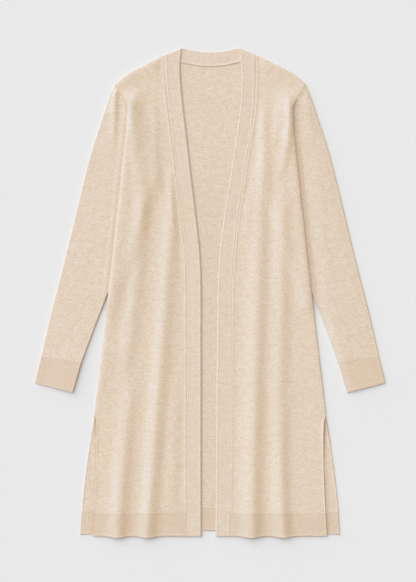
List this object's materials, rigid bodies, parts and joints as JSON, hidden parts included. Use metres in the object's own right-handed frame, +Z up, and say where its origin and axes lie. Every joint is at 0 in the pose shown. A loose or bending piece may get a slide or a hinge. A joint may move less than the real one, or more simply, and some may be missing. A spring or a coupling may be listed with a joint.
{
  "type": "duster cardigan",
  "caption": "Long open-fronted knit cardigan laid flat, with a band round fronts and neck, sleeves drawn down beside the body, ribbed cuffs and hems, and side slits.",
  "frame": {"origin": "centre of the laid-out garment's outline, on the surface that it lies on", "axes": "+Y along the garment towards its neck, +X towards the wearer's left side, +Z up off the surface"},
  "size_m": [0.719, 1.0045, 0.014],
  "materials": {
    "jersey": "matt melange jersey knit",
    "band": "matt close knit",
    "rib": "matt fine rib knit"
  },
  "bodies": {
    "root": {"back": "jersey", "front_left": "jersey", "front_right": "jersey", "sleeve_left": "jersey", "sleeve_right": "jersey", "front_band": "band", "cuff_left": "rib", "cuff_right": "rib", "hem_back": "rib", "hem_front_left": "rib", "hem_front_right": "rib"}
  },
  "joints": []
}
